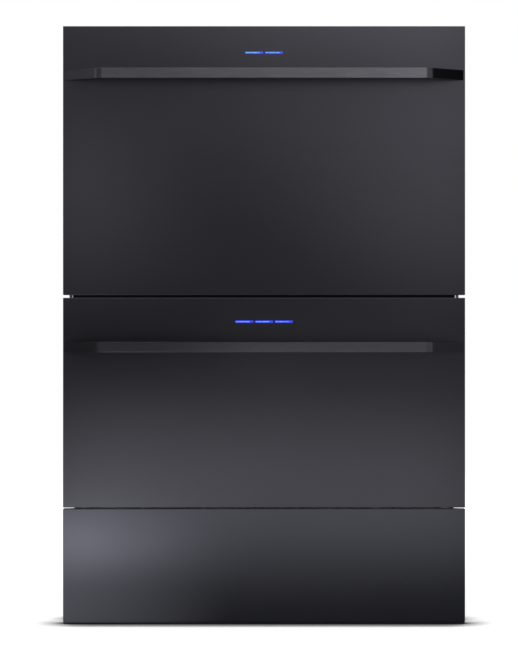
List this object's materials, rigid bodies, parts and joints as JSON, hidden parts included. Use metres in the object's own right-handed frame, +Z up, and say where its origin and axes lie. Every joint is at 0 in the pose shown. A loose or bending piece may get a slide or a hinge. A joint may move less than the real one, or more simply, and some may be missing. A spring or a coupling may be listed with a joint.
{
  "type": "double-drawer dishwasher",
  "caption": "Built-in dishwasher with a tall and a short pull-out wash drawer, strip handles, lit indicator bars and a fixed plinth below.",
  "frame": {"origin": "on the floor, at the middle of the overall width and depth", "axes": "+X to the right seen from the front, +Y to the back, +Z up"},
  "size_m": [0.598, 0.613, 0.889],
  "materials": {
    "front_metal": "satin",
    "zinc_sheet": "galvanised",
    "dark_plastic": "fine texture",
    "grey_plastic": "satin",
    "white_plastic": "satin",
    "tub_plastic": "smooth",
    "coated_wire": "nylon coated",
    "rubber": "matt",
    "blue_light": "lit lens"
  },
  "bodies": {
    "cabinet": {"side_wall_left": "zinc_sheet", "side_wall_right": "zinc_sheet", "top_cover": "zinc_sheet", "back_cover": "zinc_sheet", "mid_cross_rail": "dark_plastic", "base_frame": "zinc_sheet", "leg_sleeves": "dark_plastic", "drip_tray": "grey_plastic", "plinth_panel": "front_metal", "plinth_brackets": "coated_wire", "outer_runners": "zinc_sheet", "lid_guides": "white_plastic", "control_box": "dark_plastic", "connection_plate": "zinc_sheet", "inlet_valve": "white_plastic", "drain_outlet": "grey_plastic", "cable_gland": "dark_plastic"},
    "foot_front_left": {"foot_front_left": "dark_plastic"},
    "foot_front_right": {"foot_front_right": "dark_plastic"},
    "foot_back_left": {"foot_back_left": "dark_plastic"},
    "foot_back_right": {"foot_back_right": "dark_plastic"},
    "upper_drawer": {"upper_front_panel": "front_metal", "upper_front_liner": "dark_plastic", "upper_handle": "front_metal", "upper_lights": "blue_light", "upper_inner_runners": "zinc_sheet", "upper_tub": "tub_plastic", "upper_wash_pump": "dark_plastic", "upper_drain_pump": "grey_plastic", "upper_filter_well": "grey_plastic", "upper_dispenser": "grey_plastic"},
    "upper_middle_runners": {"upper_middle_runners": "zinc_sheet"},
    "upper_lid": {"upper_lid": "white_plastic", "upper_lid_seal": "rubber"},
    "upper_rack": {"upper_rack": "coated_wire", "upper_tines": "coated_wire"},
    "upper_folding_tines": {"upper_folding_tines": "coated_wire"},
    "upper_spray_arm": {"upper_spray_arm": "grey_plastic"},
    "upper_filter": {"upper_filter": "dark_plastic"},
    "upper_dispenser_slide": {"upper_dispenser_slide": "white_plastic"},
    "lower_drawer": {"lower_front_panel": "front_metal", "lower_front_liner": "dark_plastic", "lower_handle": "front_metal", "lower_lights": "blue_light", "lower_inner_runners": "zinc_sheet", "lower_tub": "tub_plastic", "lower_wash_pump": "dark_plastic", "lower_drain_pump": "grey_plastic", "lower_filter_well": "grey_plastic", "lower_dispenser": "grey_plastic"},
    "lower_middle_runners": {"lower_middle_runners": "zinc_sheet"},
    "lower_lid": {"lower_lid": "white_plastic", "lower_lid_seal": "rubber"},
    "lower_rack": {"lower_rack": "coated_wire"},
    "lower_folding_tines": {"lower_folding_tines": "coated_wire"},
    "lower_spray_arm": {"lower_spray_arm": "grey_plastic"},
    "lower_filter": {"lower_filter": "dark_plastic"},
    "lower_dispenser_slide": {"lower_dispenser_slide": "white_plastic"},
    "upper_cup_shelf": {"upper_cup_shelf": "coated_wire"},
    "cutlery_basket": {"cutlery_basket": "grey_plastic"}
  },
  "joints": [
    {"name": "foot_front_left_adjust", "type": "slide", "parent": "cabinet", "child": "foot_front_left", "axis": [0, 0, 1], "range_m": [-0.04, 0]},
    {"name": "foot_front_right_adjust", "type": "slide", "parent": "cabinet", "child": "foot_front_right", "axis": [0, 0, 1], "range_m": [-0.04, 0]},
    {"name": "foot_back_left_adjust", "type": "slide", "parent": "cabinet", "child": "foot_back_left", "axis": [0, 0, 1], "range_m": [-0.04, 0]},
    {"name": "foot_back_right_adjust", "type": "slide", "parent": "cabinet", "child": "foot_back_right", "axis": [0, 0, 1], "range_m": [-0.04, 0]},
    {"name": "upper_drawer_slide", "type": "slide", "parent": "cabinet", "child": "upper_drawer", "axis": [0, -1, 0], "range_m": [0, 0.5]},
    {"name": "upper_middle_slide", "type": "slide", "parent": "cabinet", "child": "upper_middle_runners", "axis": [0, -1, 0], "range_m": [0, 0.25]},
    {"name": "upper_lid_press", "type": "slide", "parent": "cabinet", "child": "upper_lid", "axis": [0, 0, 1], "range_m": [-0.01, 0]},
    {"name": "upper_rack_lift", "type": "slide", "parent": "upper_drawer", "child": "upper_rack", "axis": [0, 0, 1], "range_m": [0, 0.035]},
    {"name": "upper_tine_fold", "type": "hinge", "parent": "upper_rack", "child": "upper_folding_tines", "pos_m": [0.02136, -0.0015, 0.6367], "axis": [0, 1, 0], "range_deg": [0, 88]},
    {"name": "upper_spray_spin", "type": "hinge", "parent": "upper_drawer", "child": "upper_spray_arm", "pos_m": [0, -0.0015, 0.602], "axis": [0, 0, 1], "continuous": true},
    {"name": "upper_filter_twist", "type": "hinge", "parent": "upper_drawer", "child": "upper_filter", "pos_m": [0.13, -0.0965, 0.564], "axis": [0, 0, 1], "range_deg": [0, 90]},
    {"name": "upper_dispenser_open", "type": "slide", "parent": "upper_drawer", "child": "upper_dispenser_slide", "axis": [1, 0, 0], "range_m": [0, 0.052]},
    {"name": "lower_drawer_slide", "type": "slide", "parent": "cabinet", "child": "lower_drawer", "axis": [0, -1, 0], "range_m": [0, 0.5]},
    {"name": "lower_middle_slide", "type": "slide", "parent": "cabinet", "child": "lower_middle_runners", "axis": [0, -1, 0], "range_m": [0, 0.25]},
    {"name": "lower_lid_press", "type": "slide", "parent": "cabinet", "child": "lower_lid", "axis": [0, 0, 1], "range_m": [-0.01, 0]},
    {"name": "lower_rack_lift", "type": "slide", "parent": "lower_drawer", "child": "lower_rack", "axis": [0, 0, 1], "range_m": [0, 0.035]},
    {"name": "lower_tine_fold", "type": "hinge", "parent": "lower_rack", "child": "lower_folding_tines", "pos_m": [0.02136, -0.0015, 0.3207], "axis": [0, 1, 0], "range_deg": [0, 88]},
    {"name": "lower_spray_spin", "type": "hinge", "parent": "lower_drawer", "child": "lower_spray_arm", "pos_m": [0, -0.0015, 0.286], "axis": [0, 0, 1], "continuous": true},
    {"name": "lower_filter_twist", "type": "hinge", "parent": "lower_drawer", "child": "lower_filter", "pos_m": [0.13, -0.0965, 0.248], "axis": [0, 0, 1], "range_deg": [0, 90]},
    {"name": "lower_dispenser_open", "type": "slide", "parent": "lower_drawer", "child": "lower_dispenser_slide", "axis": [1, 0, 0], "range_m": [0, 0.052]},
    {"name": "upper_shelf_turn", "type": "hinge", "parent": "upper_rack", "child": "upper_cup_shelf", "pos_m": [0.26025, -0.0015, 0.6973], "axis": [0, 1, 0], "range_deg": [0, 88]},
    {"name": "cutlery_basket_lift", "type": "slide", "parent": "upper_rack", "child": "cutlery_basket", "axis": [0, 0, 1], "range_m": [0, 0.065]}
  ],
  "couplings": [
    {"joint": "upper_middle_slide", "follows": "upper_drawer_slide", "ratio": 0.5},
    {"joint": "lower_middle_slide", "follows": "lower_drawer_slide", "ratio": 0.5}
  ]
}
